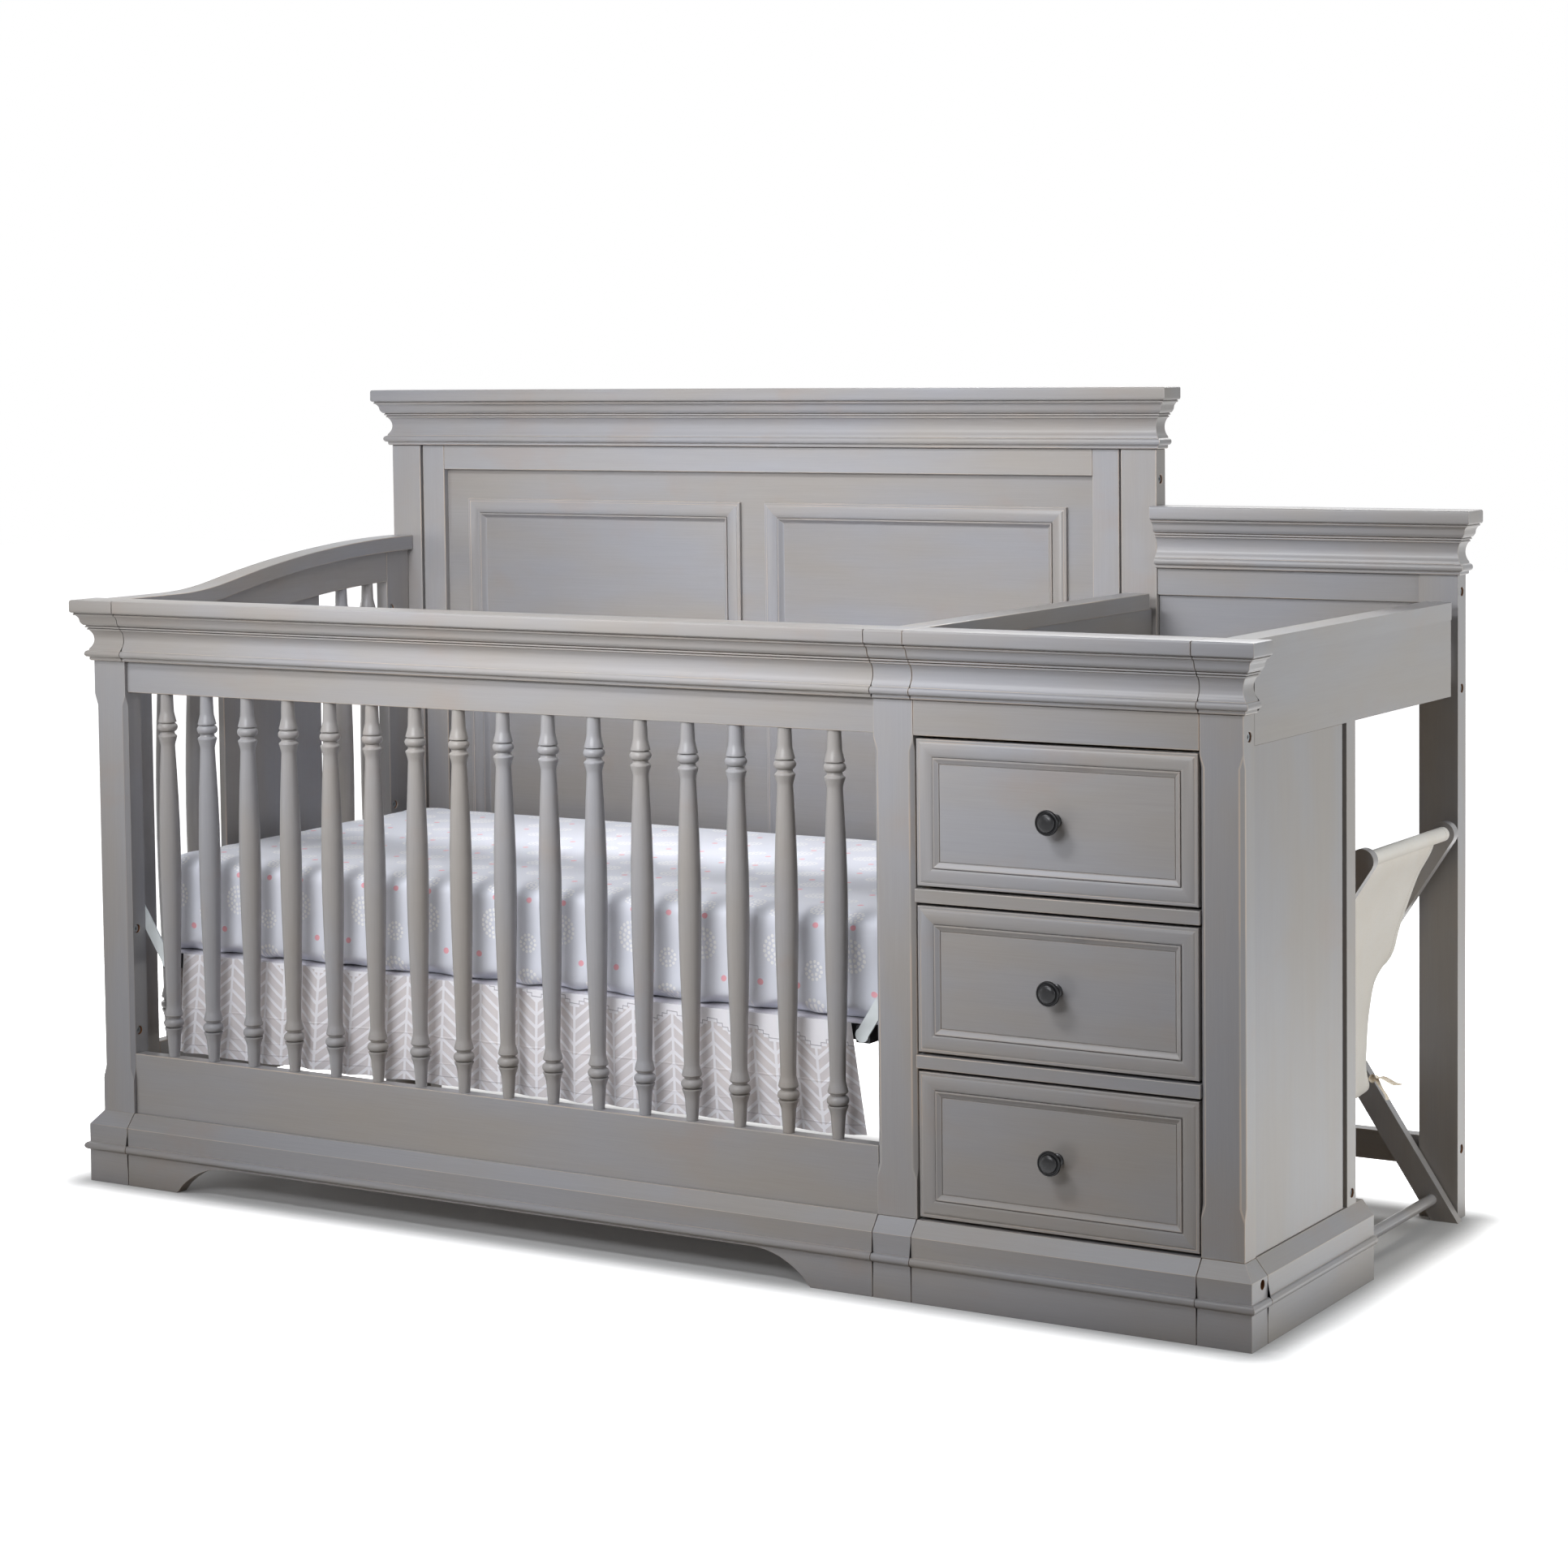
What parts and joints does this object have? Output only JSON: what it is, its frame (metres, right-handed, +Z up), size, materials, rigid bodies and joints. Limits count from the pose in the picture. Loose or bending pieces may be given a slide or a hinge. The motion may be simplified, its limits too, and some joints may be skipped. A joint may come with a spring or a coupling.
{
  "type": "crib with attached changer",
  "caption": "Baby crib with turned front spindles and a panelled headboard, joined to a changing cabinet with drawers, a tray top and a folding hamper behind it.",
  "frame": {"origin": "on the floor, at the middle of the whole piece's outline seen from above", "axes": "+X along the crib towards the changer, +Y from the front to the headboard, +Z up"},
  "size_m": [1.932, 0.7976, 1.1885],
  "materials": {
    "stained_wood": "satin grey stain, edges rubbed through",
    "drawer_wood": "clear satin lacquer",
    "knob_metal": "satin black",
    "bolt_steel": "zinc plated",
    "support_metal": "black powder coat",
    "strap_metal": "zinc plated",
    "sheet_cloth": "printed cotton",
    "skirt_cloth": "printed cotton",
    "canvas_cloth": "heavy cotton canvas"
  },
  "bodies": {
    "crib": {"front_left_post": "stained_wood", "front_middle_post": "stained_wood", "front_right_post": "stained_wood", "post_base_blocks": "stained_wood", "post_cap_blocks": "stained_wood", "crib_front_cornice": "stained_wood", "crib_front_top_rail": "stained_wood", "crib_front_bottom_rail": "stained_wood", "crib_front_plinth": "stained_wood", "crib_front_spindles": "stained_wood", "end_cap_rail": "stained_wood", "end_rails": "stained_wood", "end_stiles": "stained_wood", "end_centre_slat": "stained_wood", "end_spindles": "stained_wood", "headboard_left_leg": "stained_wood", "headboard_right_leg": "stained_wood", "headboard_cornice": "stained_wood", "headboard_top_rail": "stained_wood", "headboard_stiles": "stained_wood", "headboard_panel": "stained_wood", "headboard_bottom_rail": "stained_wood", "divider_cap_rail": "stained_wood", "divider_frame": "stained_wood", "divider_panel": "stained_wood", "changer_front_cornice": "stained_wood", "changer_apron": "stained_wood", "drawer_divider_rails": "stained_wood", "changer_front_plinth": "stained_wood", "changer_side_plinth": "stained_wood", "cabinet_side_panel": "stained_wood", "cabinet_rear_stile": "stained_wood", "tray_side_rail": "stained_wood", "tray_deck": "stained_wood", "changer_back_cornice": "stained_wood", "changer_back_leg": "stained_wood", "changer_back_panel": "stained_wood", "rear_stretcher": "stained_wood", "cabinet_left_panel": "drawer_wood", "cabinet_back": "drawer_wood", "cabinet_floor": "drawer_wood", "drawer_runners": "drawer_wood", "mattress_support": "support_metal", "support_hangers": "strap_metal", "crib_skirt": "skirt_cloth", "frame_bolts": "bolt_steel"},
    "top_drawer": {"top_drawer_front": "stained_wood", "top_drawer_box": "drawer_wood", "top_drawer_knob": "knob_metal"},
    "middle_drawer": {"middle_drawer_front": "stained_wood", "middle_drawer_box": "drawer_wood", "middle_drawer_knob": "knob_metal"},
    "bottom_drawer": {"bottom_drawer_front": "stained_wood", "bottom_drawer_box": "drawer_wood", "bottom_drawer_knob": "knob_metal"},
    "mattress": {"mattress": "sheet_cloth"},
    "hamper": {"hamper_bag": "canvas_cloth"},
    "hamper_outer": {"hamper_outer_frame": "stained_wood"},
    "hamper_inner": {"hamper_inner_frame": "stained_wood"}
  },
  "joints": [
    {"name": "top_drawer_slide", "type": "slide", "parent": "crib", "child": "top_drawer", "axis": [0, -1, 0], "range_m": [0, 0.25]},
    {"name": "middle_drawer_slide", "type": "slide", "parent": "crib", "child": "middle_drawer", "axis": [0, -1, 0], "range_m": [0, 0.25]},
    {"name": "bottom_drawer_slide", "type": "slide", "parent": "crib", "child": "bottom_drawer", "axis": [0, -1, 0], "range_m": [0, 0.25]},
    {"name": "mattress_lift", "type": "slide", "parent": "crib", "child": "mattress", "axis": [0, 0, 1], "range_m": [0, 0.55]},
    {"name": "hamper_pull_out", "type": "slide", "parent": "crib", "child": "hamper", "axis": [1, 0, 0], "range_m": [0, 0.45]},
    {"name": "hamper_fold", "type": "hinge", "parent": "hamper", "child": "hamper_outer", "pos_m": [0.94824, 0.18975, 0], "axis": [0, 1, 0], "range_deg": [0, 25], "deforming": ["hamper_bag"]},
    {"name": "hamper_cross", "type": "hinge", "parent": "hamper_outer", "child": "hamper_inner", "pos_m": [0.745, 0.18975, 0.27625], "axis": [0, -1, 0], "range_deg": [0, 50], "deforming": ["hamper_bag"]}
  ],
  "couplings": [
    {"joint": "hamper_cross", "follows": "hamper_fold", "ratio": 2}
  ]
}
